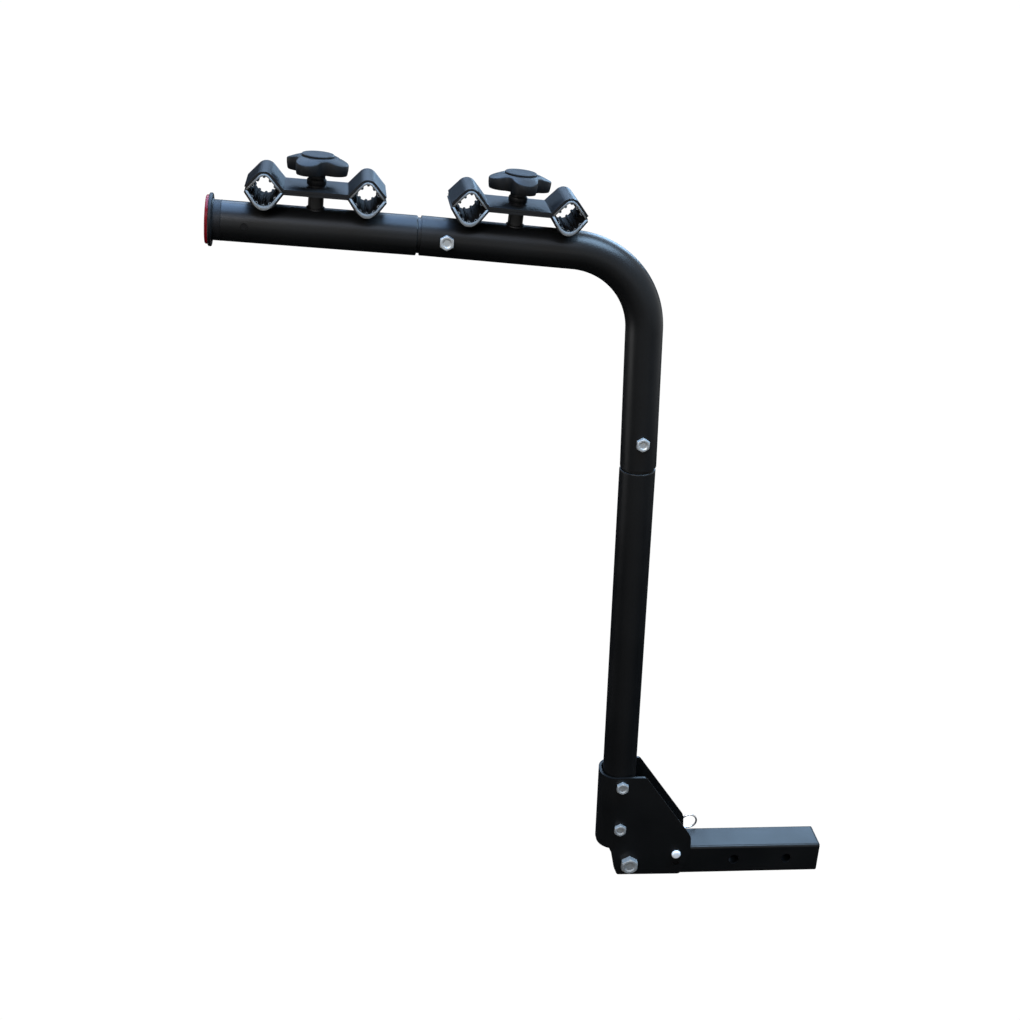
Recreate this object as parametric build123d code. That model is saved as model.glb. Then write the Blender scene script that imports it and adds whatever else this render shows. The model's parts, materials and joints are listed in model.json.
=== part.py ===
from build123d import *
from math import asin, atan2, cos, degrees, hypot, radians, sin, sqrt, tan
import os

os.makedirs("parts", exist_ok=True)

# Sizes in mm. The origin is the centre of the hitch pin bore in the shank.
# +X points at the vehicle, +Z is up, and the bolt heads face -Y.

# Receiver shank, 2 inch square tube
SHANK_WIDTH = 50.8
SHANK_WALL = 4.0
SHANK_CORNER = 4.5
SHANK_FRONT_X = 49.5
HITCH_BORE = 16.2
SECOND_BORE_X = -84.9
PLUG_FLANGE = 3.0
PLUG_DEPTH = 22.0
PLUG_WALL = 2.5
PLUG_CLEARANCE = 0.1

# Tilt pivot
PIVOT_X = -254.7
PIVOT_TO_SHANK_BACK = 15.7
PIVOT_BOLT = 16.0
PIVOT_HEAD_FLATS = 24.0
PIVOT_HEAD_HEIGHT = 10.0
PIVOT_NUT_HEIGHT = 13.0
PIVOT_THREAD_SHOWN = 3.0
PIVOT_WASHER = 30.0
PIVOT_WASHER_THICK = 3.0
SLEEVE_WALL = 2.95
RUNNING_CLEARANCE = 0.05
BOLT_CLEARANCE = 0.25
THREAD_CLEARANCE = 0.05

# Round tubes, 2 inch
TUBE = 50.8
TUBE_WALL = 2.5
SPIGOT_CLEARANCE = 0.3
SHOULDER_LENGTH = 4.0
SHOULDER_ROUND = 1.8
JOINT_GROOVE = 4.5

# Tilt bracket, one plate bent into a U round the mast
PLATE = 4.0
SIDE_GAP = 0.3
BRACKET_BEND = 21.7
BRACKET_BACK = 27.4
SHANK_TURN_GAP = 0.4
# Side outline as (x from the pivot, z, corner radius)
BRACKET_OUTLINE = [
    (-70.0, 156.8, 0.0),
    (13.3, 159.7, 9.0),
    (94.3, 48.5, 14.0),
    (96.8, 20.0, 40.0),
    (83.8, -22.0, 7.0),
    (-17.5, -21.0, 5.0),
    (-23.2, -8.0, 15.0),
    (-29.5, 20.0, 12.0),
    (-29.3, 28.7, 4.0),
    (-70.0, 28.7, 0.0),
]

# Lock pin, at its radius and angle from the pivot
LOCK_PIN = 10.0
LOCK_RADIUS = 75.5
LOCK_ANGLE = 12.4
LEVEL_HOLE_ANGLE = -1.2
LOCK_SLOT_END_ANGLE = 36.0
LOCK_SLOT_CLEARANCE = 0.4
LOCK_HEAD = 14.0
LOCK_HEAD_HEIGHT = 4.0
LOCK_HEAD_GAP = 0.1
LOCK_TIP_PAST_PLATE = 10.3

# Spring clip, bent wire in a plane behind the far plate
WIRE = 2.8
CLIP_PAST_PLATE = 4.3
CLIP_ANGLE = 44.0
CLIP_LEG_TIP = 14.0
CLIP_LEG = 34.7
CLIP_LOOP_RADIUS = 11.7
CLIP_BOW = 7.6
CLIP_BOW_RADIUS = 22.0
CLIP_FLARE_HEADING = 200.0
CLIP_FLARE = 4.3
CLIP_CLEARANCE = 0.3

# Mast
MAST_BEHIND_PIVOT = 17.7
MAST_LEAN = 2.01
MAST_BOTTOM = 34.0
MAST_LOWER_BOLT = 65.7
MAST_UPPER_BOLT = 143.1
LEG_BOLT = 703.7
SMALL_BOLT = 10.0
SMALL_HEAD_FLATS = 17.0
SMALL_HEAD_HEIGHT = 6.4
SMALL_NUT_HEIGHT = 8.0
SMALL_THREAD_SHOWN = 3.0
HEAD_DISH = 1.0

# Elbow, from the bolt in its leg to the bolt in its arm
LEG_LEAN = 2.85
LEG_TO_CORNER = 255.1
CORNER_TO_ARM_BOLT = 266.1
ELBOW_RISE = 3.62
BEND_RADIUS = 110.0
LEG_END = 41.3
ELBOW_ARM_END = 32.6
SPIGOT_PAST_BOLT = 28.0

# Outer arm and end cap, from the arm bolt outwards
ARM_RISE = 2.84
ARM_LENGTH = 283.4
CAP_CLEARANCE = 0.1
CAP_PLUG_WALL = 3.0
CAP_PLUG_DEPTH = 38.0
CAP_COLLAR = 10.8
CAP_FLANGE = 66.5
CAP_FLANGE_THICK = 4.3
CAP_HOLE = 9.0
CAP_HOLE_FROM_END = 29.6
CAP_LUG_CLEARANCE = 0.3
CAP_LUG_SUNK = 0.5
REFLECTOR = 61.0
REFLECTOR_THICK = 4.0
REFLECTOR_BEVEL = 1.0

# Clamps
OUTER_CLAMP_FROM_BOLT = 167.0
INNER_CLAMP_FROM_BOLT = 87.3
POST = 19.5
POST_HEIGHT = 20.55
STRAP = 3.2
STRAP_WIDTH = 75.0
STRAP_GAP = 0.3
STRAP_END_LIFT = 2.6
CRADLE_SPACING = 127.0
# Half width of a cradle inside the steel, at the plane where the straps part
CRADLE_HALF = 22.6
# Flank angles in degrees, and the radius inside each vee
UPPER_SLOPE = 48.0
UPPER_RADIUS = 9.7
LOWER_SLOPE = 55.0
LOWER_RADIUS = 15.8
FLAT_BEND_RADIUS = 4.8
STUD = 10.0
STUD_PAST_STRAPS = 31.3
STUD_HOLE_CLEARANCE = 0.4
LINER_BASE = 2.3
LINER_RIB = 3.8
LINER_RIB_DEPTH = 2.5
LINER_RIB_HOLE = 2.4
LINER_RIB_PITCH = 9.2
LINER_PART_GAP = 0.35
LINER_OVERHANG = 2.0

# Knob
KNOB_WASHER = 22.0
KNOB_WASHER_THICK = 1.5
STACK_GAP = 0.1
HUB = 24.5
HUB_COLLAR = 8.0
HUB_NECK = 21.0
HUB_HEIGHT = 16.0
STAR_HEIGHT = 20.2
STAR_FALL = 2.0
STAR_REACH = 41.0
LOBES = 4
LOBE_WIDTH = 32.0
LOBE_VALLEY_RADIUS = 11.0
STAR_BEVEL = 1.6
STAR_WALL = 3.5
OUTER_KNOB_TURN = 65.0
INNER_KNOB_TURN = 8.0
CAP_DISC = 41.0
CAP_DISC_THICK = 2.2
CAP_DISC_BEVEL = 0.8
INSERT_FLATS = 16.0
INSERT_LENGTH = 14.0
STUD_WELL_CLEARANCE = 0.7

LOW = (Align.CENTER, Align.CENTER, Align.MIN)

# Values that follow from the sizes above
SHANK_BACK_X = PIVOT_X - PIVOT_TO_SHANK_BACK
BRACKET_INNER = max(SHANK_WIDTH, TUBE) / 2 + SIDE_GAP
BRACKET_OUTER = BRACKET_INNER + PLATE
SPIGOT = TUBE - 2 * TUBE_WALL - 2 * SPIGOT_CLEARANCE
SLEEVE_BORE = PIVOT_BOLT / 2 + RUNNING_CLEARANCE
SLEEVE_OUTER = SLEEVE_BORE + SLEEVE_WALL
STRAP_PLANE = TUBE / 2 + POST_HEIGHT + STRAP + STRAP_GAP / 2


def facing_near(x, z, y):
    """Local +Z points at -Y."""
    return Location((x, y, z), (90, 0, 0))


def facing_far(x, z, y):
    """Local +Z points at +Y."""
    return Location((x, y, z), (-90, 0, 0))


def turned(*points):
    """Solid turned round Z from (radius, z) points."""
    return revolve(Plane.XZ * Polygon(*points, align=None), Axis.Z)


def bar_y(diameter, x, z, y_from, y_to):
    rod = Cylinder(diameter / 2, y_to - y_from, align=LOW)
    return facing_far(x, z, y_from) * rod


def hex_block(flats, height):
    """Hexagon from z 0 with its top corners turned off, corners on local Y."""
    corner = flats / sqrt(3)
    bevel = (corner - 0.48 * flats) * 0.577
    block = extrude(RegularPolygon(flats / 2, 6, major_radius=False, rotation=30), height)
    limit = turned((0, 0), (corner, 0), (corner, height - bevel), (0.48 * flats, height), (0, height))
    return block & limit


def hex_bolt(diameter, flats, head, shaft):
    """Head above z 0 with a shallow dish in it, shaft below."""
    dish = turned((0, head + 1), (0.36 * flats, head + 1), (0.36 * flats, head),
                  (0.26 * flats, head - HEAD_DISH), (0, head - HEAD_DISH))
    rod = Pos(0, 0, -shaft) * Cylinder(diameter / 2, shaft + head / 2, align=LOW)
    rod = chamfer(rod.edges().sort_by(Axis.Z)[0], diameter * 0.08)
    return hex_block(flats, head) - dish + rod


def hex_nut(diameter, flats, height):
    hole = Cylinder(diameter / 2 + THREAD_CLEARANCE, 3 * height)
    return hex_block(flats, height) - hole


def point_on(frame, x, z):
    """World (x, z) of a point in a frame that only tilts about Y."""
    spot = (frame * Pos(x, 0, z)).position
    return spot.X, spot.Z


# Frames of the bent chain, each tilted about Y only
mast_frame = Location((PIVOT_X - MAST_BEHIND_PIVOT, 0, 0), (0, -MAST_LEAN, 0))
leg_x, leg_z = point_on(mast_frame, 0, LEG_BOLT)
leg_frame = Location((leg_x, 0, leg_z), (0, -LEG_LEAN, 0))
corner_x, corner_z = point_on(leg_frame, 0, LEG_TO_CORNER)
arm_x = corner_x - CORNER_TO_ARM_BOLT * cos(radians(ELBOW_RISE))
arm_z = corner_z + CORNER_TO_ARM_BOLT * sin(radians(ELBOW_RISE))
# In these two the local X runs back to the mast and Z is square to the arm
elbow_arm_frame = Location((arm_x, 0, arm_z), (0, ELBOW_RISE, 0))
outer_arm_frame = Location((arm_x, 0, arm_z), (0, ARM_RISE, 0))
OUTWARDS = Location((0, 0, 0), (0, -90, 0))


def lock_point(angle):
    x = PIVOT_X + LOCK_RADIUS * cos(radians(angle))
    return x, LOCK_RADIUS * sin(radians(angle))


def square_tube_section(width, corner):
    return RectangleRounded(width, width, corner)


def make_shank():
    outer = square_tube_section(SHANK_WIDTH, SHANK_CORNER)
    inner = square_tube_section(SHANK_WIDTH - 2 * SHANK_WALL, SHANK_CORNER - 0.75 * SHANK_WALL)
    length = SHANK_FRONT_X - SHANK_BACK_X
    tube = Pos(SHANK_BACK_X, 0, 0) * extrude(Plane.YZ * (outer - inner), length)
    for x in (0, SECOND_BORE_X):
        tube -= bar_y(HITCH_BORE, x, 0, -SHANK_WIDTH, SHANK_WIDTH)
    tube -= bar_y(2 * SLEEVE_OUTER, PIVOT_X, 0, -SHANK_WIDTH, SHANK_WIDTH)
    sweep_angle = LOCK_SLOT_END_ANGLE - LOCK_ANGLE
    path = CenterArc((PIVOT_X, 0), LOCK_RADIUS, LOCK_ANGLE, sweep_angle)
    notch = SlotArc(path, LOCK_PIN + 2 * LOCK_SLOT_CLEARANCE)
    return tube - extrude(Plane.XZ * notch, SHANK_WIDTH, both=True)


def make_sleeve():
    body = bar_y(2 * SLEEVE_OUTER, PIVOT_X, 0, -SHANK_WIDTH / 2, SHANK_WIDTH / 2)
    return body - bar_y(2 * SLEEVE_BORE, PIVOT_X, 0, -SHANK_WIDTH, SHANK_WIDTH)


def make_end_plug():
    """Moulded plug: flange flush with the tube's sides and a hollow square skirt."""
    skirt_width = SHANK_WIDTH - 2 * SHANK_WALL - 2 * PLUG_CLEARANCE
    flange = extrude(Plane.YZ * square_tube_section(SHANK_WIDTH, SHANK_CORNER), PLUG_FLANGE)
    flange = chamfer(flange.faces().sort_by(Axis.X)[-1].edges(), 1.0)
    ring = Rectangle(skirt_width, skirt_width) - Rectangle(
        skirt_width - 2 * PLUG_WALL, skirt_width - 2 * PLUG_WALL
    )
    ring = fillet(ring.vertices().group_by(SortBy.DISTANCE)[-1], 1.5)
    skirt = Pos(-PLUG_DEPTH, 0, 0) * extrude(Plane.YZ * ring, PLUG_DEPTH + PLUG_FLANGE / 2)
    return Pos(SHANK_FRONT_X, 0, 0) * (flange + skirt)


def bracket_side():
    points = [(PIVOT_X + x, z) for x, z, _ in BRACKET_OUTLINE]
    radii = [corner for _, _, corner in BRACKET_OUTLINE]
    outline = Polygon(*points, align=None)
    for (x, z), corner in zip(points, radii):
        if corner > 0:
            near = outline.vertices().sort_by_distance((x, z, 0))[0]
            outline = fillet(near, corner)
    return outline


def channel_section(half_width, back, bend, reach):
    """Strip open towards +X, with both corners of its closed end rounded."""
    strip = Pos((reach - back) / 2, 0) * Rectangle(reach + back, 2 * half_width)
    return fillet(strip.vertices().group_by(Axis.X)[0], bend)


def make_bracket():
    reach = 140.0
    outer = channel_section(BRACKET_OUTER, BRACKET_BACK + PLATE, BRACKET_BEND + PLATE, reach)
    inner = channel_section(BRACKET_INNER, BRACKET_BACK, BRACKET_BEND, 2 * reach)
    channel = mast_frame * (Pos(0, 0, -60) * extrude(outer - inner, 260))
    plate = channel & extrude(Plane.XZ * bracket_side(), 2 * BRACKET_OUTER, both=True)
    # The shank's end corners turn past the inside of the plates
    turning_end = hypot(PIVOT_TO_SHANK_BACK, SHANK_WIDTH / 2) + SHANK_TURN_GAP
    plate -= bar_y(2 * turning_end, PIVOT_X, 0, -BRACKET_INNER, BRACKET_INNER)
    cuts = [bar_y(PIVOT_BOLT + 0.2, PIVOT_X, 0, -TUBE, TUBE)]
    hole = SMALL_BOLT + 2 * BOLT_CLEARANCE
    for height in (MAST_LOWER_BOLT, MAST_UPPER_BOLT):
        x, z = point_on(mast_frame, 0, height)
        cuts.append(bar_y(hole, x, z, -TUBE, TUBE))
    for angle in (LOCK_ANGLE, LEVEL_HOLE_ANGLE):
        x, z = lock_point(angle)
        cuts.append(bar_y(LOCK_PIN + 2 * BOLT_CLEARANCE, x, z, -TUBE, TUBE))
    for cut in cuts:
        plate -= cut
    return plate


def make_pivot_bolt():
    shaft = 2 * BRACKET_OUTER + PIVOT_WASHER_THICK + PIVOT_NUT_HEIGHT + PIVOT_THREAD_SHOWN
    bolt = hex_bolt(PIVOT_BOLT, PIVOT_HEAD_FLATS, PIVOT_HEAD_HEIGHT, shaft)
    return facing_near(PIVOT_X, 0, -BRACKET_OUTER) * bolt


def make_pivot_washer():
    ring = Cylinder(PIVOT_WASHER / 2, PIVOT_WASHER_THICK, align=LOW)
    ring -= Cylinder(PIVOT_BOLT / 2 + BOLT_CLEARANCE, 4 * PIVOT_WASHER_THICK)
    return facing_far(PIVOT_X, 0, BRACKET_OUTER) * ring


def make_pivot_nut():
    nut = hex_nut(PIVOT_BOLT, PIVOT_HEAD_FLATS, PIVOT_NUT_HEIGHT)
    return facing_far(PIVOT_X, 0, BRACKET_OUTER + PIVOT_WASHER_THICK) * nut


def make_lock_pin():
    x, z = lock_point(LOCK_ANGLE)
    head_y = -BRACKET_OUTER - LOCK_HEAD_GAP
    tip_y = BRACKET_OUTER + LOCK_TIP_PAST_PLATE
    shaft = Pos(0, 0, head_y - tip_y) * Cylinder(LOCK_PIN / 2, tip_y - head_y, align=LOW)
    shaft = chamfer(shaft.edges().sort_by(Axis.Z)[0], 1.2)
    dome = Cylinder(LOCK_HEAD / 2, LOCK_HEAD_HEIGHT, align=LOW)
    dome = fillet(dome.edges().sort_by(Axis.Z)[-1], 0.7 * LOCK_HEAD_HEIGHT)
    pin = facing_near(x, z, head_y) * (dome + shaft)
    slot_low = BRACKET_OUTER + CLIP_PAST_PLATE - WIRE / 2 - CLIP_CLEARANCE
    slot = Box(4 * LOCK_PIN, 2 * (tip_y - slot_low), WIRE + 2 * CLIP_CLEARANCE)
    return pin - Location((x, tip_y, z), (0, -CLIP_ANGLE, 0)) * slot


def bent_wire(steps):
    """Round wire from the origin along +X, bent in the XY plane.

    A step is (length, 0) for a straight or (radius, angle) for a bend, to the left if positive.
    """
    here = Location()
    section = Plane.YZ * Circle(WIRE / 2)
    wire = None
    for size, angle in steps:
        if angle == 0:
            piece = here * extrude(section, size)
            here = here * Pos(size, 0, 0)
        else:
            side = 1 if angle > 0 else -1
            piece = here * revolve(section, Axis((0, side * size, 0), (0, 0, side)), abs(angle))
            here = here * Pos(0, side * size, 0) * Rot(0, 0, angle) * Pos(0, -side * size, 0)
        wire = piece if wire is None else wire + piece
    return wire


def make_clip():
    """Leg through the pin, a round loop and a bowed leg that passes the pin's side."""
    loop = CLIP_LOOP_RADIUS
    drop = CLIP_BOW + CLIP_BOW_RADIUS - loop
    apart = hypot(CLIP_LEG, drop)
    radii = loop + CLIP_BOW_RADIUS
    heading = 180 + degrees(atan2(drop, CLIP_LEG)) - degrees(asin(radii / apart))
    wire = bent_wire([
        (CLIP_LEG_TIP + CLIP_LEG, 0),
        (loop, heading - 360),
        (sqrt(apart ** 2 - radii ** 2), 0),
        (CLIP_BOW_RADIUS, CLIP_FLARE_HEADING - heading),
        (CLIP_FLARE, 0),
    ])
    x, z = lock_point(LOCK_ANGLE)
    frame = Location((x, BRACKET_OUTER + CLIP_PAST_PLATE, z), (0, -CLIP_ANGLE, 0))
    return frame * Location((0, 0, 0), (90, 0, 0)) * Pos(-CLIP_LEG_TIP, 0, 0) * wire


def ring_tube(outer, inner, low, high):
    tube = Pos(0, 0, low) * Cylinder(outer, high - low, align=LOW)
    return tube - Pos(0, 0, low - 1) * Cylinder(inner, high - low + 2, align=LOW)


def swaged_tube(body_frame, spigot_frame, body_from, body_to, spigot_to):
    """Tube along local Z whose far end steps in to a spigot on the next tube's axis."""
    body = ring_tube(TUBE / 2, TUBE / 2 - TUBE_WALL, body_from, body_to - SHOULDER_LENGTH / 2)
    step = ring_tube(TUBE / 2, SPIGOT / 2 - 1.5 * TUBE_WALL, body_to - SHOULDER_LENGTH, body_to)
    rim = step.edges().filter_by(GeomType.CIRCLE).sort_by(SortBy.LENGTH)[-2:]
    step = fillet(rim.sort_by(Axis.Z)[-1], SHOULDER_ROUND)
    spigot = ring_tube(SPIGOT / 2, SPIGOT / 2 - TUBE_WALL, *spigot_to)
    return body_frame * (body + step) + spigot_frame * spigot


def make_mast():
    top = LEG_BOLT - LEG_END - JOINT_GROOVE
    spigot_low = -LEG_END - JOINT_GROOVE - SHOULDER_LENGTH / 2
    tube = swaged_tube(mast_frame, leg_frame, MAST_BOTTOM, top, (spigot_low, SPIGOT_PAST_BOLT))
    hole = SMALL_BOLT + 2 * BOLT_CLEARANCE
    for height in (MAST_LOWER_BOLT, MAST_UPPER_BOLT, LEG_BOLT):
        x, z = point_on(mast_frame, 0, height)
        tube -= bar_y(hole, x, z, -TUBE, TUBE)
    return tube


def bolt_across(x, z, half_width):
    shaft = 2 * half_width + SMALL_NUT_HEIGHT + SMALL_THREAD_SHOWN
    bolt = hex_bolt(SMALL_BOLT, SMALL_HEAD_FLATS, SMALL_HEAD_HEIGHT, shaft)
    return facing_near(x, z, -half_width) * bolt


def nut_across(x, z, half_width):
    nut = hex_nut(SMALL_BOLT, SMALL_HEAD_FLATS, SMALL_NUT_HEIGHT)
    return facing_far(x, z, half_width) * nut


def make_elbow():
    """Straight leg, round bend and straight arm of one tube."""
    outer = TUBE / 2
    inner = outer - TUBE_WALL
    turn = 90 - LEG_LEAN - ELBOW_RISE
    tangent = BEND_RADIUS * tan(radians(turn / 2))
    bend_start = LEG_TO_CORNER - tangent
    leg = ring_tube(outer, inner, -LEG_END, bend_start)
    ring = Pos(0, 0, bend_start) * (Circle(outer) - Circle(inner))
    bend = revolve(ring, Axis((-BEND_RADIUS, 0, bend_start), (0, -1, 0)), turn)
    inwards = elbow_arm_frame * Location((0, 0, 0), (0, 90, 0))
    arm = inwards * ring_tube(outer, inner, -ELBOW_ARM_END, CORNER_TO_ARM_BOLT - tangent)
    tube = leg_frame * (leg + bend) + arm
    hole = SMALL_BOLT + 2 * BOLT_CLEARANCE
    tube -= bar_y(hole, leg_x, leg_z, -TUBE, TUBE)
    return tube - bar_y(hole, arm_x, arm_z, -TUBE, TUBE)


def make_outer_arm():
    """Built from the cap end inwards, so that its swaged end is the last one."""
    inwards = outer_arm_frame * Location((0, 0, 0), (0, 90, 0))
    spigot_axis = elbow_arm_frame * Location((0, 0, 0), (0, 90, 0))
    body_end = -ELBOW_ARM_END - JOINT_GROOVE
    spigot = (body_end - SHOULDER_LENGTH / 2, SPIGOT_PAST_BOLT)
    tube = swaged_tube(inwards, spigot_axis, -ARM_LENGTH, body_end, spigot)
    tube -= bar_y(SMALL_BOLT + 2 * BOLT_CLEARANCE, arm_x, arm_z, -TUBE, TUBE)
    x, z = point_on(outer_arm_frame, CAP_HOLE_FROM_END - ARM_LENGTH, 0)
    return tube - bar_y(CAP_HOLE, x, z, -TUBE, 0)


def make_end_cap():
    plug = TUBE / 2 - TUBE_WALL - CAP_CLEARANCE
    bore = plug - CAP_PLUG_WALL
    end = ARM_LENGTH + CAP_COLLAR
    face = end + CAP_FLANGE_THICK
    web = ARM_LENGTH + 0.4 * CAP_COLLAR
    body = turned(
        (0, web), (bore, web), (bore, ARM_LENGTH - CAP_PLUG_DEPTH),
        (plug, ARM_LENGTH - CAP_PLUG_DEPTH), (plug, ARM_LENGTH), (TUBE / 2, ARM_LENGTH),
        (TUBE / 2, end - 1.5), (TUBE / 2 + 1.5, end), (CAP_FLANGE / 2 - 0.8, end),
        (CAP_FLANGE / 2, end + 0.8), (CAP_FLANGE / 2, face - 0.8),
        (CAP_FLANGE / 2 - 0.8, face), (0, face),
    )
    body = outer_arm_frame * OUTWARDS * body
    x, z = point_on(outer_arm_frame, CAP_HOLE_FROM_END - ARM_LENGTH, 0)
    lug = bar_y(CAP_HOLE - 2 * CAP_LUG_CLEARANCE, x, z, CAP_LUG_SUNK - TUBE / 2, 1 - bore)
    return body + lug


def make_reflector():
    face = ARM_LENGTH + CAP_COLLAR + CAP_FLANGE_THICK
    rim = REFLECTOR / 2
    front = face + REFLECTOR_THICK
    disc = turned(
        (0, face), (rim, face), (rim, front - REFLECTOR_BEVEL), (rim - REFLECTOR_BEVEL, front), (0, front)
    )
    return outer_arm_frame * OUTWARDS * disc


def vee_edge(slope, inset):
    """Half width and sharp peak of a vee line, this far inside the steel."""
    half = CRADLE_HALF - inset / sin(radians(slope))
    return half, half * tan(radians(slope))


def strap_line(slope, radius):
    """Centre line of a strap above the parting plane: flank, vee, flat, vee, flank."""
    middle = CRADLE_SPACING / 2
    half, peak = vee_edge(slope, -STRAP / 2)
    flat = STRAP_GAP / 2 + STRAP / 2
    rise = tan(radians(slope))
    points = [
        (middle - half + flat / rise, flat),
        (middle, peak),
        (middle + half - STRAP_END_LIFT / rise, STRAP_END_LIFT),
    ]
    points = [(-x, z) for x, z in reversed(points)] + points
    bend = radius + STRAP / 2
    flat_bend = FLAT_BEND_RADIUS - STRAP / 2
    return FilletPolyline(*points, radius=[bend, flat_bend, flat_bend, bend])


def placed(shape, side):
    """Shape made above the parting plane, set on it, or under it where side is -1."""
    if side < 0:
        shape = mirror(shape, about=Plane.XY)
    return Pos(0, 0, STRAP_PLANE) * shape


def make_strap(side, slope, radius):
    strip = trace(strap_line(slope, radius), STRAP)
    strap = extrude(Plane.XZ * strip, STRAP_WIDTH / 2, both=True)
    hole = Cylinder(STUD / 2 + STUD_HOLE_CLEARANCE, 4 * STRAP)
    return placed(strap - hole, side)


def vee_shape(slope, radius, inset):
    half, peak = vee_edge(slope, inset)
    below = 5.0
    wide = half + below / tan(radians(slope))
    shape = Polygon((-wide, -below), (wide, -below), (0, peak), align=None)
    return fillet(shape.vertices().sort_by(Axis.Y)[-1], radius - inset)


def rib_centres(slope, radius):
    """One hollow rib in the vee and two on each flank, evenly spaced along the rubber."""
    half, peak = vee_edge(slope, LINER_RIB_DEPTH)
    line = FilletPolyline((-half, 0), (0, peak), (half, 0), radius=radius - LINER_RIB_DEPTH)
    steps = [LINER_RIB_PITCH * count / line.length for count in (-2, -1, 0, 1, 2)]
    return [line @ (0.5 + step) for step in steps]


def make_liners(side, slope, radius):
    """Rubber strip inside a vee, with hollow ribs that stand into the cradle."""
    strip = vee_shape(slope, radius, 0) - vee_shape(slope, radius, LINER_BASE)
    centres = rib_centres(slope, radius)
    for centre in centres:
        strip += Pos(centre.X, centre.Y) * Circle(LINER_RIB / 2)
    for centre in centres:
        strip -= Pos(centre.X, centre.Y) * Circle(LINER_RIB_HOLE / 2)
    deep = 4 * CRADLE_HALF
    strip -= Pos(0, LINER_PART_GAP - deep / 2) * Rectangle(deep, deep)
    liner = extrude(Plane.XZ * strip, STRAP_WIDTH / 2 + LINER_OVERHANG, both=True)
    middle = CRADLE_SPACING / 2
    return [placed(Pos(x, 0, 0) * liner, side) for x in (-middle, middle)]


def make_post():
    post = Cylinder(POST / 2, TUBE / 2 + POST_HEIGHT, align=LOW)
    post -= Cylinder(STUD / 2 + THREAD_CLEARANCE, 4 * TUBE)
    return post - Location((0, 0, 0), (0, 90, 0)) * Cylinder(TUBE / 2, 4 * POST)


def make_stud():
    stud = Cylinder(STUD / 2, STRAP_PLANE + STRAP + STUD_PAST_STRAPS, align=LOW)
    stud = chamfer(stud.edges().sort_by(Axis.Z)[-1], 1.0)
    return stud - Location((0, 0, 0), (0, 90, 0)) * Cylinder(TUBE / 2, 4 * POST)


WASHER_LOW = STRAP_PLANE + STRAP_GAP / 2 + STRAP + STACK_GAP
HUB_LOW = WASHER_LOW + KNOB_WASHER_THICK + STACK_GAP
STAR_LOW = HUB_LOW + HUB_HEIGHT
STAR_TOP = STAR_LOW + STAR_HEIGHT


def make_knob_washer():
    return ring_tube(KNOB_WASHER / 2, STUD / 2 + STUD_HOLE_CLEARANCE, WASHER_LOW,
                     WASHER_LOW + KNOB_WASHER_THICK)


def star_outline():
    """Round lobes joined by round valleys, the first lobe along +X."""
    lobe = LOBE_WIDTH / 2
    tip = STAR_REACH - lobe
    half = 180 / LOBES
    # A valley circle touches the circles of the two lobes beside it
    off_line = tip * sin(radians(half))
    valley = tip * cos(radians(half)) + sqrt((lobe + LOBE_VALLEY_RADIUS) ** 2 - off_line ** 2)
    meet = degrees(atan2(valley * sin(radians(half)), valley * cos(radians(half)) - tip))
    lines = Curve()
    for count in range(LOBES):
        here = 2 * half * count
        lobe_centre = Vector(tip, 0).rotate(Axis.Z, here)
        valley_centre = Vector(valley, 0).rotate(Axis.Z, here + half)
        lines += CenterArc(lobe_centre, lobe, here - meet, 2 * meet)
        lines += CenterArc(valley_centre, LOBE_VALLEY_RADIUS, here + meet + 180, 2 * half - 2 * meet)
    return make_face(lines)


def insert_hex():
    shape = RegularPolygon(INSERT_FLATS / 2, 6, major_radius=False)
    return Pos(0, 0, HUB_LOW) * extrude(shape, INSERT_LENGTH)


def make_knob(turn):
    """Hollow lobes that fall from the cap's edge to their ends, on a round hub."""
    rim = STAR_REACH - STAR_BEVEL
    fall = turned((0, 0), (STAR_REACH, 0), (STAR_REACH, STAR_HEIGHT - STAR_FALL - STAR_BEVEL),
                  (rim, STAR_HEIGHT - STAR_FALL), (CAP_DISC / 2, STAR_HEIGHT), (0, STAR_HEIGHT))
    outline = star_outline()
    star = extrude(outline, STAR_HEIGHT) & fall
    hollow = offset(outline, -STAR_WALL) - Circle(HUB_NECK / 2)
    star -= extrude(hollow, STAR_HEIGHT - STAR_FALL - STAR_WALL)
    knob = Pos(0, 0, STAR_LOW) * Rot(0, 0, turn) * star
    knob += Pos(0, 0, HUB_LOW) * Cylinder(HUB_NECK / 2, HUB_HEIGHT + STAR_HEIGHT / 2, align=LOW)
    collar = Pos(0, 0, HUB_LOW) * Cylinder(HUB / 2, HUB_COLLAR, align=LOW)
    knob += fillet(collar.edges().sort_by(Axis.Z)[-1], (HUB - HUB_NECK) / 2 - 0.1)
    knob -= insert_hex()
    well = STRAP_PLANE + STRAP + STUD_PAST_STRAPS + STUD_WELL_CLEARANCE - HUB_LOW
    return knob - Pos(0, 0, HUB_LOW) * Cylinder(STUD / 2 + STUD_HOLE_CLEARANCE, well, align=LOW)


def make_knob_cap():
    top = STAR_TOP + CAP_DISC_THICK
    edge = CAP_DISC / 2
    return turned((0, STAR_TOP), (edge, STAR_TOP), (edge, top - CAP_DISC_BEVEL),
                  (edge - CAP_DISC_BEVEL, top), (0, top))


def make_knob_insert():
    return insert_hex() - Cylinder(STUD / 2 + RUNNING_CLEARANCE, 4 * STRAP_PLANE)


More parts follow.
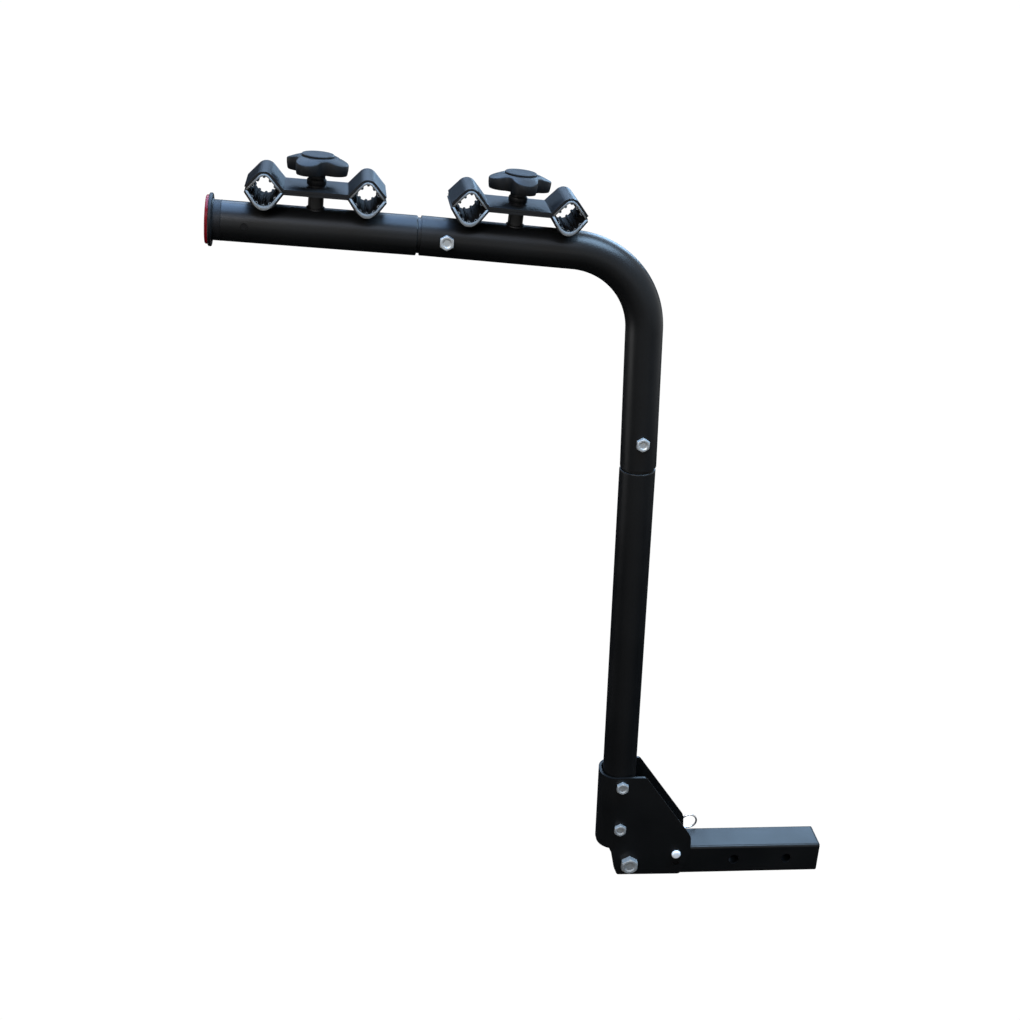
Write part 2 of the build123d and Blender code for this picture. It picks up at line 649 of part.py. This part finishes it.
def clamp_nodes(name, frame, knob_turn):
    pieces = {
        "post": [make_post()],
        "stud": [make_stud()],
        "lower_strap": [make_strap(-1, LOWER_SLOPE, LOWER_RADIUS)],
        "lower_liners": make_liners(-1, LOWER_SLOPE, LOWER_RADIUS),
        "upper_strap": [make_strap(1, UPPER_SLOPE, UPPER_RADIUS)],
        "upper_liners": make_liners(1, UPPER_SLOPE, UPPER_RADIUS),
        "washer": [make_knob_washer()],
        "knob": [make_knob(knob_turn)],
        "knob_cap": [make_knob_cap()],
        "knob_insert": [make_knob_insert()],
    }
    return {f"{name}_{key}": [frame * solid for solid in solids] for key, solids in pieces.items()}


def build_nodes():
    mast_bolts = [point_on(mast_frame, 0, h) for h in (MAST_LOWER_BOLT, MAST_UPPER_BOLT)]
    joints = [(leg_x, leg_z), (arm_x, arm_z)]
    nodes = {
        "shank_tube": [make_shank()],
        "pivot_sleeve": [make_sleeve()],
        "shank_end_plug": [make_end_plug()],
        "tilt_bracket": [make_bracket()],
        "pivot_bolt": [make_pivot_bolt()],
        "pivot_washer": [make_pivot_washer()],
        "pivot_nut": [make_pivot_nut()],
        "lock_pin": [make_lock_pin()],
        "spring_clip": [make_clip()],
        "mast_tube": [make_mast()],
        "mast_bolts": [bolt_across(x, z, BRACKET_OUTER) for x, z in mast_bolts],
        "mast_nuts": [nut_across(x, z, BRACKET_OUTER) for x, z in mast_bolts],
        "elbow_tube": [make_elbow()],
        "elbow_bolts": [bolt_across(x, z, TUBE / 2) for x, z in joints],
        "elbow_nuts": [nut_across(x, z, TUBE / 2) for x, z in joints],
        "outer_arm": [make_outer_arm()],
        "end_cap": [make_end_cap()],
        "reflector": [make_reflector()],
    }
    outer = outer_arm_frame * Pos(-OUTER_CLAMP_FROM_BOLT, 0, 0)
    inner = elbow_arm_frame * Pos(INNER_CLAMP_FROM_BOLT, 0, 0)
    nodes.update(clamp_nodes("outer", outer, OUTER_KNOB_TURN))
    nodes.update(clamp_nodes("inner", inner, INNER_KNOB_TURN))
    return nodes


for node, solids in build_nodes().items():
    pieces = [piece for solid in solids for piece in solid.solids()]
    shape = pieces[0] if len(pieces) == 1 else Compound(pieces)
    export_step(shape, f"parts/{node}.step")
    box = shape.bounding_box()
    print(node, len(pieces), [round(v, 1) for v in (*box.min, *box.max)])
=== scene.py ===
import json
from math import atan2, cos, pi, radians, sin, sqrt, tan

import bmesh
import bpy
from mathutils import Matrix, Vector


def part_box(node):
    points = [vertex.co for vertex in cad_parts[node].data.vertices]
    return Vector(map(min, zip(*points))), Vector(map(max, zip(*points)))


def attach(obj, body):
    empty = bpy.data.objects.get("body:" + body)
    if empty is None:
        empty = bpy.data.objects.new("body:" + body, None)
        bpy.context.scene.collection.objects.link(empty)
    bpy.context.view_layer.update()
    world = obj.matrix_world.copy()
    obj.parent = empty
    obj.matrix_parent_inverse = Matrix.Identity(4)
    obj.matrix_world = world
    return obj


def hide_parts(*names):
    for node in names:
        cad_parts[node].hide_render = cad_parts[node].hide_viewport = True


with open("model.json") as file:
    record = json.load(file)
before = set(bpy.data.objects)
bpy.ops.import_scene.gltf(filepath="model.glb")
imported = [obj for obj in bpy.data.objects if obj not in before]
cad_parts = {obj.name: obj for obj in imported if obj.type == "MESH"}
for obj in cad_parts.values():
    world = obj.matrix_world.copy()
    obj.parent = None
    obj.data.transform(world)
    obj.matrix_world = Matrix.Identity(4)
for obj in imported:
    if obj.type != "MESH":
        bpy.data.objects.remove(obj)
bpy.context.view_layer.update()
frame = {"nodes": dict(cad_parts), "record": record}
scene = bpy.context.scene
nodes = frame["nodes"]

# Lengths are in metres throughout. The camera was fitted to the photograph.
CAMERA_PLACE = Vector((-0.7054, -1.8372, 1.4185))
CAMERA_YAW = 0.126854
CAMERA_PITCH = 0.419778
CAMERA_ROLL = -0.0591123
CAMERA_REACH = 60
FOCAL_PIXELS = 1447.7
FRAME_PIXELS = 1020
SENSOR = 36.0

# Clamp, as in the part's source, with heights above the tube's axis
PARTING_HEIGHT = 0.0493
STRAP = 0.0032
CRADLE_MIDDLE = 0.0635
CRADLE_HALF = 0.0226
LINER_BASE = 0.0023
TUBE_RADIUS = 0.0254
POST_RADIUS = 0.00975
STUD_FOOT = 0.0249
STUD_TOP = PARTING_HEIGHT + STRAP + 0.0313
# Rise of each clamp's tube, in degrees
CLAMPS = {"outer": 2.84, "inner": 3.62}

# Rubber lips: where they start and end across the arm, and the gap at the parting
LIP_START = 0.0369
LIP_END = 0.0402
LIP_ROUND = 0.0008
LIP_INNER_ROUND = 0.0006
LIP_OUTER_ROUND = 0.0009
LIP_STEPS = 20
# The lip is full over the middle fifth of its length, and thins on a curve
LIP_FULL = 1.25
LIP_CURVE = 1.5
PART_GAP = 0.0006
# Side of the parting, slope and radius of the vee, reach past it in the middle and at the ends
LOWER_LIP = (-1, 55.0, 0.0158, 0.0036, 0.0012)
UPPER_LIP = (1, 48.0, 0.0097, 0.0010, 0.0006)

# Weld bead round a post's foot
WELD_SIZE = 0.0016
WELD_OUTSET = 0.0004
WELD_LIFT = 0.0002
# How much the bead sinks beside the post, where the tube falls away
WELD_SAG = 0.35
# Depth, count and start of the bead's fine and slow ripples
WELD_FINE = (0.10, 24, 0.0)
WELD_SLOW = (0.05, 5, 1.0)
WELD_AROUND = 96
WELD_SECTION = 8

# Gap line at the end cap, outwards of the outer clamp. Steps along the arm, and radii.
CAP_SEAM_X = -(0.2834 - 0.167)
CAP_SEAM_AROUND = 96
CAP_SEAM = ((-0.0006, 0.0249), (-0.0006, 0.02545), (-0.0003, 0.02560),
            (0.0003, 0.02560), (0.0006, 0.02545), (0.0006, 0.0249))

# Knob, as in the part's source, with heights above the tube's axis
HUB_LOW = 0.05435
STAR_LOW = 0.07035
STAR_TOP = 0.09055
STAR_REACH = 0.041
LOBE = 0.016
VALLEY = 0.011
CAP_EDGE = 0.0205
NECK = 0.0105
COLLAR = 0.01225
HEX_FLAT = 0.008
HEX_DEPTH = 0.0140
BORE = 0.0054
WELL_TOP = 0.0845
KNOB_TURNS = {"outer": 65.0, "inner": 8.0}
KNOB_CUTS = 144
# Knob's section, in short steps. Out from the cap's edge, down from the star's top:
CAP_SEAT = 0.0002
CAP_GROOVE = ((-0.0010, CAP_SEAT), (0.0001, 0.0010), (0.0009, 0.0009), (0.0015, 0.0003))
# the roof falls from the groove to each lobe's tip,
ROOF_FALL = 0.0062
ROOF_CURVE = 1.25
ROOF_INSET = 0.0016
ROOF_SHARES = (0.25, 0.45, 0.65, 0.85, 1.0)
# in from the rim, down from the roof's edge,
RIM_TOP = ((0.0006, 0.0005), (0.0, 0.0018))
RIM_BULGE = 0.0002
# in from the rim, up from the star's foot,
RIM_FOOT = ((0.0012, 0.0012), (0.0018, 0.0002), (0.0030, 0.0), (0.0040, 0.0008))
# in from the rim, down from the roof's edge, inside the hollow,
RIM_INSIDE = ((0.0046, 0.0042), (0.0056, 0.0032))
HOLLOW_TOP = 0.0085
HOLLOW_ROUND = 0.0012
# and radius, up from the hub's foot
HUB_OUTSIDE = ((NECK, 0.0088), (NECK + 0.0003, 0.0079), (COLLAR - 0.0003, 0.0071),
               (COLLAR, 0.0060), (COLLAR, 0.0006), (COLLAR - 0.0006, 0.0))

BRACKET_BEVEL = 0.0007
STRAP_BEVEL = 0.0006
BEVEL_ANGLE = 40.0

# Where noise mostly lies, so that a ramp between the two uses its whole span
NOISE_SPAN = (0.3, 0.7)
GRAIN = 1500.0
GRAIN_HEIGHT = 0.0002

FLOOR_HEIGHT = -0.62
FLOOR_SIZE = 14
FLOOR_COLOUR = (0.21, 0.17, 0.14, 1)
ROOM_COLOUR = (0.75, 0.85, 1.0, 1)
ROOM_STRENGTH = 0.008
WHITE_STRENGTH = 1.02
FLAG_HEIGHT = FLOOR_HEIGHT + 0.004
# Black cards: place, size and turn about X
FLAGS = {
    "flag_floor": ((-0.4, 2.3, FLAG_HEIGHT), (9.0, 5.2), 0),
    "flag_front": ((-0.4, -3.9, FLAG_HEIGHT), (9.0, 7.2), 0),
    "flag_back": ((-0.4, 5.6, 2.0), (12.0, 5.4), 0.5 * pi),
}
# Lamps: place, target, size, watts and colour
LAMPS = {
    "back_left": ((-0.9, 3.1, 3.0), (-0.45, 0, 0.6), (2.6, 1.3), 62, (0.56, 0.80, 1.15)),
    "back_right": ((1.2, 2.9, 2.2), (0, 0, 0.1), (1.5, 1.8), 88, (0.52, 0.80, 1.15)),
    "overhead": ((-0.85, 0.25, 2.75), (-0.80, 0, 1.0), (1.3, 2.2), 84, (0.52, 0.92, 1.60)),
    "overhead_right": ((0.52, -0.32, 2.62), (-0.38, 0, 0.97), (1.0, 1.1), 95, (0.60, 0.92, 1.30)),
    "front_high": ((-0.8, -1.9, 2.6), (-0.6, 0, 1.0), (2.0, 0.9), 18, (0.74, 0.88, 1.15)),
    "front_left": ((-1.7, -2.3, 2.3), (-0.25, 0, 0.1), (0.7, 0.7), 40, (1.0, 0.97, 0.93)),
    "front_card": ((-0.6, -2.8, 0.3), (-0.6, 0, 0.5), (4.4, 1.7), 8.5, (1.0, 1.0, 0.98)),
    "front_floor": ((-0.4, -2.2, FLOOR_HEIGHT + 0.02), (-0.4, -2.2, 2.0), (5.0, 1.9), 8.0,
                    (1.0, 1.0, 0.98)),
    "left_card": ((-2.5, -0.1, 0.3), (-0.3, 0, 0.75), (1.2, 1.0), 9.0, (1.0, 1.0, 1.0)),
}


def new_material(name):
    material = bpy.data.materials.new(name)
    material.use_nodes = True
    return material, material.node_tree, material.node_tree.nodes["Principled BSDF"]


def add_noise(tree, scale, detail=4.0):
    """Noise with that many cells to a metre of the object."""
    place = tree.nodes.new("ShaderNodeTexCoord")
    noise = tree.nodes.new("ShaderNodeTexNoise")
    noise.inputs["Scale"].default_value = scale
    noise.inputs["Detail"].default_value = detail
    tree.links.new(place.outputs["Object"], noise.inputs["Vector"])
    return noise.outputs["Fac"]


def add_ramp(tree, source, span, low, high):
    """Colour or grey that goes from low to high while the source crosses the span."""
    ramp = tree.nodes.new("ShaderNodeValToRGB")
    for element, place, value in zip(ramp.color_ramp.elements, span, (low, high)):
        element.position = place
        element.color = (*value, 1) if isinstance(value, tuple) else (value, value, value, 1)
    tree.links.new(source, ramp.inputs["Fac"])
    return ramp.outputs["Color"]


def add_drift(tree, socket, low, high, scale, detail=4.0, span=NOISE_SPAN):
    """Let noise of that scale carry a socket from low to high."""
    tree.links.new(add_ramp(tree, add_noise(tree, scale, detail), span, low, high), socket)


def add_bump(tree, shader, scale, strength):
    bump = tree.nodes.new("ShaderNodeBump")
    bump.inputs["Strength"].default_value = strength
    bump.inputs["Distance"].default_value = GRAIN_HEIGHT
    tree.links.new(add_noise(tree, scale, detail=2.0), bump.inputs["Height"])
    tree.links.new(bump.outputs["Normal"], shader.inputs["Normal"])


def powder_coat(name, dark, light, rough_low, rough_high, gloss):
    """Baked powder with slow changes of tone and gloss, and the fine peel of the coat."""
    material, tree, shader = new_material(name)
    shader.inputs["Specular IOR Level"].default_value = gloss
    add_drift(tree, shader.inputs["Base Color"], dark, light, scale=9.0)
    add_drift(tree, shader.inputs["Roughness"], rough_low, rough_high, scale=14.0)
    add_bump(tree, shader, scale=900.0, strength=0.05)
    return material


def plated(name, colour, rough_low, rough_high, metallic=1.0):
    """Plated or bright steel, a little cloudy."""
    material, tree, shader = new_material(name)
    shader.inputs["Metallic"].default_value = metallic
    dull = tuple(0.86 * c for c in colour)
    add_drift(tree, shader.inputs["Base Color"], dull, colour, scale=60.0)
    add_drift(tree, shader.inputs["Roughness"], rough_low, rough_high, scale=120.0)
    return material


def plastic(name, colour, roughness, grain, gloss):
    """Moulded plastic whose tone and polish drift a little, with a fine spark grain."""
    material, tree, shader = new_material(name)
    shader.inputs["Specular IOR Level"].default_value = gloss
    worn = tuple(1.25 * c for c in colour)
    add_drift(tree, shader.inputs["Base Color"], colour, worn, scale=35.0, detail=5.0,
              span=(0.35, 0.75))
    add_drift(tree, shader.inputs["Roughness"], 0.9 * roughness, 1.15 * roughness, scale=50.0)
    add_bump(tree, shader, GRAIN, grain)
    return material


def rubber():
    """Grey rubber, painted near black as shade on every face that does not look along Y, and the
    rubber's own pale grey on faces that look along Y.
    """
    material, tree, shader = new_material("grey_rubber")
    shader.inputs["Specular IOR Level"].default_value = 0.08
    shader.inputs["Roughness"].default_value = 0.75
    place = tree.nodes.new("ShaderNodeTexCoord")
    split = tree.nodes.new("ShaderNodeSeparateXYZ")
    tree.links.new(place.outputs["Normal"], split.inputs["Vector"])
    facing = tree.nodes.new("ShaderNodeMath")
    facing.operation = "ABSOLUTE"
    tree.links.new(split.outputs["Y"], facing.inputs[0])
    mix = tree.nodes.new("ShaderNodeMix")
    mix.data_type = "RGBA"
    # Mask by facing: 0 gives the painted shade, 1 the rubber's own pale grey.
    painted_shade_mask = add_ramp(tree, facing.outputs[0], (0.55, 0.8), 0.0, 1.0)
    tree.links.new(painted_shade_mask, mix.inputs["Factor"])
    # Painted shade: near black on every face that does not look along Y.
    mix.inputs["A"].default_value = (0.005, 0.0048, 0.0046, 1)
    add_drift(tree, mix.inputs["B"], (0.135, 0.137, 0.135), (0.215, 0.218, 0.213),
              scale=420.0, detail=3.0)
    tree.links.new(mix.outputs["Result"], shader.inputs["Base Color"])
    add_bump(tree, shader, GRAIN, 0.25)
    return material


MATERIALS = {
    "powder_coat": powder_coat("powder_coat", (0.0030, 0.0031, 0.0032), (0.0048, 0.0049, 0.0050),
                               0.30, 0.40, gloss=0.17),
    # Painted light: a lighter copy of the black coat, standing in for the overhead light that the
    # strap flats catch; the washers wear it too.
    "strap_coat_painted_light": powder_coat("strap_coat_painted_light", (0.0040, 0.0041, 0.0043), (0.0060, 0.0061, 0.0064),
                              0.34, 0.46, gloss=0.165),
    "zinc": plated("zinc", (0.39, 0.395, 0.385), 0.30, 0.45, metallic=0.5),
    # Painted highlight: the pin's near-white base stands in for the glint on its polished end.
    "pin": plated("pin_painted_highlight", (0.98, 0.98, 0.97), 0.35, 0.5, metallic=0.1),
    "wire": plated("wire", (0.60, 0.62, 0.64), 0.25, 0.4),
    "black_plastic": plastic("black_plastic", (0.0040, 0.0042, 0.0045), 0.46,
                             grain=0.1, gloss=0.12),
    "grey_rubber": rubber(),
    "red_reflector": plastic("red_reflector", (0.135, 0.001, 0.004), 0.22, grain=0.0, gloss=0.10),
    "insert": plated("insert", (0.75, 0.58, 0.30), 0.3, 0.45),
}


def paint(node, name):
    materials = nodes[node].data.materials
    materials.clear()
    materials.append(MATERIALS[name])


def clamp_matrix(clamp):
    """Frame on the tube's axis under the clamp, Z square to the tube."""
    low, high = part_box(clamp + "_stud")
    middle = Vector([(a + b) / 2 for a, b in zip(low, high)])
    tilt = Matrix.Rotation(radians(CLAMPS[clamp]), 4, "Y")
    up = tilt @ Vector((0, 0, 1))
    foot = middle - up * (0.5 * STUD_TOP + 0.5 * STUD_FOOT)
    return Matrix.Translation(foot) @ tilt


def skin(mesh, loops, round_trip, closed=True):
    """Quads from each loop of points to the next, and back to the first on a round trip."""
    following = loops[1:] + loops[:1] if round_trip else loops[1:]
    for near, far in zip(loops, following):
        count = len(near)
        for k in range(count if closed else count - 1):
            after = (k + 1) % count
            mesh.faces.new((near[k], near[after], far[after], far[k]))


def add_piece(name, mesh, body, material):
    bmesh.ops.recalc_face_normals(mesh, faces=mesh.faces)
    data = bpy.data.meshes.new(name)
    mesh.to_mesh(data)
    mesh.free()
    data.materials.append(MATERIALS[material])
    piece = bpy.data.objects.new(name, data)
    scene.collection.objects.link(piece)
    for face in data.polygons:
        face.use_smooth = True
    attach(piece, body)
    return piece


def vee_line(slope, radius, outset):
    """Points of a vee line, moved out by outset, from one flank's foot to the other's."""
    lean = radians(slope)
    half = CRADLE_HALF + outset / sin(lean)
    peak = half * tan(lean)
    turn = radius + outset
    centre = peak - turn / cos(lean)
    points = [(-half + PART_GAP / tan(lean), PART_GAP)]
    for step in range(LIP_STEPS + 1):
        angle = lean - 2 * lean * step / LIP_STEPS
        points.append((-turn * sin(angle), centre + turn * cos(angle)))
    points.append((half - PART_GAP / tan(lean), PART_GAP))
    return points


def make_lip(name, body, clamp, x_middle, shape):
    """Pale rubber edge that wraps the strap's end, thickest in the middle of the vee."""
    side, slope, radius, reach, flank = shape
    frame_at = clamp_matrix(clamp)
    inner = vee_line(slope, radius, -LINER_BASE)
    outer = vee_line(slope, radius, 0.0)
    last = len(inner) - 1

    def moved(point, across, distance):
        return point[0] + across[0] * distance, max(point[1] + across[1] * distance, PART_GAP)

    rings = []
    for index, (a, b) in enumerate(zip(inner, outer)):
        along = 1 - abs(2 * index / last - 1)
        swell = flank + (reach - flank) * min(1.0, along * LIP_FULL) ** LIP_CURVE
        across = Vector((b[0] - a[0], b[1] - a[1]))
        across.normalize()
        far = moved(b, across, swell)
        section = ((a, LIP_START), (far, LIP_START), (far, LIP_END - LIP_ROUND),
                   (moved(far, across, -LIP_OUTER_ROUND), LIP_END),
                   (moved(a, across, LIP_INNER_ROUND), LIP_END),
                   (a, LIP_END - LIP_INNER_ROUND))
        rings.append([(x_middle + x, depth, PARTING_HEIGHT + side * z)
                      for (x, z), depth in section])
    mesh = bmesh.new()
    for front in (-1, 1):
        loops = [[mesh.verts.new(frame_at @ Vector((x, front * y, z))) for x, y, z in ring]
                 for ring in rings]
        skin(mesh, loops, round_trip=False)
        mesh.faces.new(loops[0])
        mesh.faces.new(list(reversed(loops[-1])))
    add_piece(name, mesh, body, "grey_rubber")


def make_weld(clamp):
    """Rippled bead round the foot of the post, on the tube's round top."""
    frame_at = clamp_matrix(clamp)
    mesh = bmesh.new()
    reach = POST_RADIUS + WELD_OUTSET
    loops = []
    for step in range(WELD_AROUND):
        angle = 2 * pi * step / WELD_AROUND
        size = WELD_SIZE
        for depth, count, start in (WELD_FINE, WELD_SLOW):
            size += WELD_SIZE * depth * sin(angle * count + start)
        y = reach * sin(angle)
        z = sqrt(TUBE_RADIUS ** 2 - y ** 2) + WELD_LIFT
        loop = []
        for k in range(WELD_SECTION):
            turn = 2 * pi * k / WELD_SECTION
            out, lift = size * cos(turn), size * sin(turn)
            sag = abs(sin(angle)) * max(out, 0) * WELD_SAG
            point = ((reach + out) * cos(angle), (reach + out) * sin(angle), z + lift - sag)
            loop.append(mesh.verts.new(frame_at @ Vector(point)))
        loops.append(loop)
    skin(mesh, loops, round_trip=True)
    add_piece(clamp + "_post_weld", mesh, "upright", "powder_coat")


def make_cap_seam():
    """Dark gap line where the moulded cap's collar meets the arm's end."""
    frame_at = clamp_matrix("outer")
    mesh = bmesh.new()
    loops = []
    for step in range(CAP_SEAM_AROUND):
        angle = 2 * pi * step / CAP_SEAM_AROUND
        points = [(CAP_SEAM_X + along, radius * sin(angle), radius * cos(angle))
                  for along, radius in CAP_SEAM]
        loops.append([mesh.verts.new(frame_at @ Vector(point)) for point in points])
    skin(mesh, loops, round_trip=True)
    add_piece("cap_seam", mesh, "upright", "black_plastic")


def star_radius(angle):
    """Radius of the four-lobed outline at an angle from a lobe's middle."""
    quarter = pi / 2
    angle = abs((angle + quarter / 2) % quarter - quarter / 2)
    tip = STAR_REACH - LOBE
    off = tip * sin(quarter / 2)
    far = tip * cos(quarter / 2) + sqrt((LOBE + VALLEY) ** 2 - off ** 2)
    share = LOBE / (LOBE + VALLEY)
    meet_x = tip + (far * cos(quarter / 2) - tip) * share
    meet_y = far * sin(quarter / 2) * share
    if angle < atan2(meet_y, meet_x):
        return tip * cos(angle) + sqrt(LOBE ** 2 - (tip * sin(angle)) ** 2)
    away = quarter / 2 - angle
    return far * cos(away) - sqrt(VALLEY ** 2 - (far * sin(away)) ** 2)


def hex_radius(angle):
    """Radius of the six-sided pocket for the insert."""
    sixth = pi / 3
    return HEX_FLAT / cos((angle % sixth) - sixth / 2)


def knob_section(angle):
    """Radius and height down one cut of the knob, from the cap's seat round to the bore."""
    rim = star_radius(angle)
    points = [(CAP_EDGE + out, STAR_TOP - down) for out, down in CAP_GROOVE]
    start, height = points[-1]
    across = (rim - CAP_EDGE) / (STAR_REACH - CAP_EDGE)
    for share in ROOF_SHARES:
        fall = ROOF_FALL * (across * share) ** ROOF_CURVE
        points.append((start + (rim - ROOF_INSET - start) * share, height - fall))
    edge = points[-1][1]
    points += [(rim - inset, edge - down) for inset, down in RIM_TOP]
    points.append((rim - RIM_BULGE, 0.5 * (edge + STAR_LOW)))
    points += [(rim - inset, STAR_LOW + up) for inset, up in RIM_FOOT]
    points += [(rim - inset, edge - down) for inset, down in RIM_INSIDE]
    hollow = STAR_TOP - HOLLOW_TOP
    points += [(0.5 * (rim + NECK), hollow), (NECK + HOLLOW_ROUND, hollow),
               (NECK, hollow - HOLLOW_ROUND)]
    points += [(radius, HUB_LOW + up) for radius, up in HUB_OUTSIDE]
    flat = hex_radius(angle)
    points += [(flat, HUB_LOW), (flat, HUB_LOW + HEX_DEPTH), (BORE, HUB_LOW + HEX_DEPTH),
               (BORE, WELL_TOP)]
    return points


def make_knob(clamp):
    """Star knob with a steeper roof than the solid's, and a groove round its cap."""
    frame_at = clamp_matrix(clamp)
    turn = radians(KNOB_TURNS[clamp])
    mesh = bmesh.new()
    top = mesh.verts.new(frame_at @ Vector((0, 0, STAR_TOP - CAP_SEAT)))
    end = mesh.verts.new(frame_at @ Vector((0, 0, WELL_TOP)))
    cuts = []
    for step in range(KNOB_CUTS):
        angle = 2 * pi * step / KNOB_CUTS
        across = Vector((cos(angle + turn), sin(angle + turn), 0))
        cuts.append([mesh.verts.new(frame_at @ (across * radius + Vector((0, 0, height))))
                     for radius, height in knob_section(angle)])
    for near, far in zip(cuts, cuts[1:] + cuts[:1]):
        mesh.faces.new((top, near[0], far[0]))
        mesh.faces.new((end, far[-1], near[-1]))
    skin(mesh, cuts, round_trip=True, closed=False)
    knob = add_piece(clamp + "_star_knob", mesh, clamp + "_knob", "black_plastic")
    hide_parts(clamp + "_knob")


def soften(node, width):
    """Small rounded edges, which catch the light as folded and cut plate does."""
    bevel = nodes[node].modifiers.new("edges", "BEVEL")
    bevel.width = width
    bevel.segments = 2
    bevel.limit_method = "ANGLE"
    bevel.angle_limit = radians(BEVEL_ANGLE)
    bevel.harden_normals = False


def show_white(tree, lit, white, surface):
    """White to camera, glossy and transmission rays, and the lit surface to all others."""
    path = tree.nodes.new("ShaderNodeLightPath")
    seen = path.outputs["Is Camera Ray"]
    for kind in ("Is Glossy Ray", "Is Transmission Ray"):
        add = tree.nodes.new("ShaderNodeMath")
        add.operation = "ADD"
        add.use_clamp = True
        tree.links.new(seen, add.inputs[0])
        tree.links.new(path.outputs[kind], add.inputs[1])
        seen = add.outputs[0]
    white.inputs["Color"].default_value = (1, 1, 1, 1)
    white.inputs["Strength"].default_value = WHITE_STRENGTH
    mix = tree.nodes.new("ShaderNodeMixShader")
    tree.links.new(seen, mix.inputs["Fac"])
    tree.links.new(lit.outputs[0], mix.inputs[1])
    tree.links.new(white.outputs[0], mix.inputs[2])
    tree.links.new(mix.outputs["Shader"], surface)


def backdrop_material():
    """Pale floor that the camera sees as the photograph's plain white."""
    material = bpy.data.materials.new("backdrop")
    material.use_nodes = True
    tree = material.node_tree
    tree.nodes.clear()
    out = tree.nodes.new("ShaderNodeOutputMaterial")
    pale = tree.nodes.new("ShaderNodeBsdfDiffuse")
    pale.inputs["Color"].default_value = FLOOR_COLOUR
    white = tree.nodes.new("ShaderNodeEmission")
    show_white(tree, pale, white, out.inputs["Surface"])
    return material


def flag_material():
    material, _, shader = new_material("flag_black")
    shader.inputs["Base Color"].default_value = (0.004, 0.004, 0.004, 1)
    shader.inputs["Roughness"].default_value = 1.0
    shader.inputs["Specular IOR Level"].default_value = 0.0
    return material


def add_floor():
    bpy.ops.mesh.primitive_plane_add(size=FLOOR_SIZE, location=(-0.4, 0, FLOOR_HEIGHT))
    floor = bpy.context.object
    floor.name = "floor"
    floor.data.materials.append(backdrop_material())


def add_flag(name, place, size, turn, material):
    """Black card that only reflections see, so that the black coat stays dark there."""
    bpy.ops.mesh.primitive_plane_add(size=1, location=place, rotation=(turn, 0, 0))
    flag = bpy.context.object
    flag.name = name
    flag.scale = (*size, 1)
    flag.visible_camera = False
    flag.visible_diffuse = False
    flag.visible_shadow = False
    flag.data.materials.append(material)


def set_world():
    """White to the camera and to reflections, and a dim blue-grey room to the fill."""
    world = bpy.data.worlds.new("world")
    scene.world = world
    world.use_nodes = True
    tree = world.node_tree
    tree.nodes.clear()
    out = tree.nodes.new("ShaderNodeOutputWorld")
    room = tree.nodes.new("ShaderNodeBackground")
    room.inputs["Color"].default_value = ROOM_COLOUR
    room.inputs["Strength"].default_value = ROOM_STRENGTH
    white = tree.nodes.new("ShaderNodeBackground")
    show_white(tree, room, white, out.inputs["Surface"])


def add_lamp(name, place, target, size, watts, colour):
    light = bpy.data.lights.new(name, "AREA")
    light.shape = "RECTANGLE"
    light.size, light.size_y = size
    light.energy = watts
    light.color = colour
    lamp = bpy.data.objects.new(name, light)
    scene.collection.objects.link(lamp)
    lamp.location = place
    lamp.rotation_euler = (Vector(target) - Vector(place)).to_track_quat("-Z", "Y").to_euler()
    lamp.visible_camera = False


def add_camera():
    """Camera from its fitted place and angles. Roll turns it about the way it looks."""
    yaw, pitch, roll = CAMERA_YAW, CAMERA_PITCH, CAMERA_ROLL
    ahead = Vector((sin(yaw) * cos(pitch), cos(yaw) * cos(pitch), -sin(pitch)))
    level = Vector((cos(yaw), -sin(yaw), 0))
    below = ahead.cross(level)
    right = level * cos(roll) + below * sin(roll)
    down = below * cos(roll) - level * sin(roll)
    camera = bpy.data.cameras.new("camera")
    camera.sensor_width = SENSOR
    camera.lens = SENSOR * FOCAL_PIXELS / FRAME_PIXELS
    camera.clip_end = CAMERA_REACH
    holder = bpy.data.objects.new("camera", camera)
    scene.collection.objects.link(holder)
    turn = Matrix((right, -down, -ahead)).transposed().to_4x4()
    holder.matrix_world = Matrix.Translation(CAMERA_PLACE) @ turn
    scene.camera = holder


for part in frame["record"]["subparts"]:
    paint(part["node"], part["material_slot"])
# Painted highlight: the lock pin wears the near-white material that stands in for its glint.
paint("lock_pin", "pin")
soften("tilt_bracket", BRACKET_BEVEL)
make_cap_seam()
for clamp in CLAMPS:
    for strap in (clamp + "_upper_strap", clamp + "_lower_strap"):
        # The straps take the lighter copy of the coat, which is painted light.
        paint(strap, "strap_coat_painted_light")
        soften(strap, STRAP_BEVEL)
    paint(clamp + "_washer", "strap_coat_painted_light")
    make_weld(clamp)
    make_knob(clamp)
    for cradle, x_middle in (("left", -CRADLE_MIDDLE), ("right", CRADLE_MIDDLE)):
        make_lip(clamp + "_lower_lip_" + cradle, "upright", clamp, x_middle, LOWER_LIP)
        make_lip(clamp + "_upper_lip_" + cradle, clamp + "_strap", clamp, x_middle, UPPER_LIP)

add_floor()
black = flag_material()
for name, (place, size, turn) in FLAGS.items():
    add_flag(name, place, size, turn, black)
set_world()
for name, (place, target, size, watts, colour) in LAMPS.items():
    add_lamp(name, place, target, size, watts, colour)
add_camera()
scene.view_settings.view_transform = "Standard"
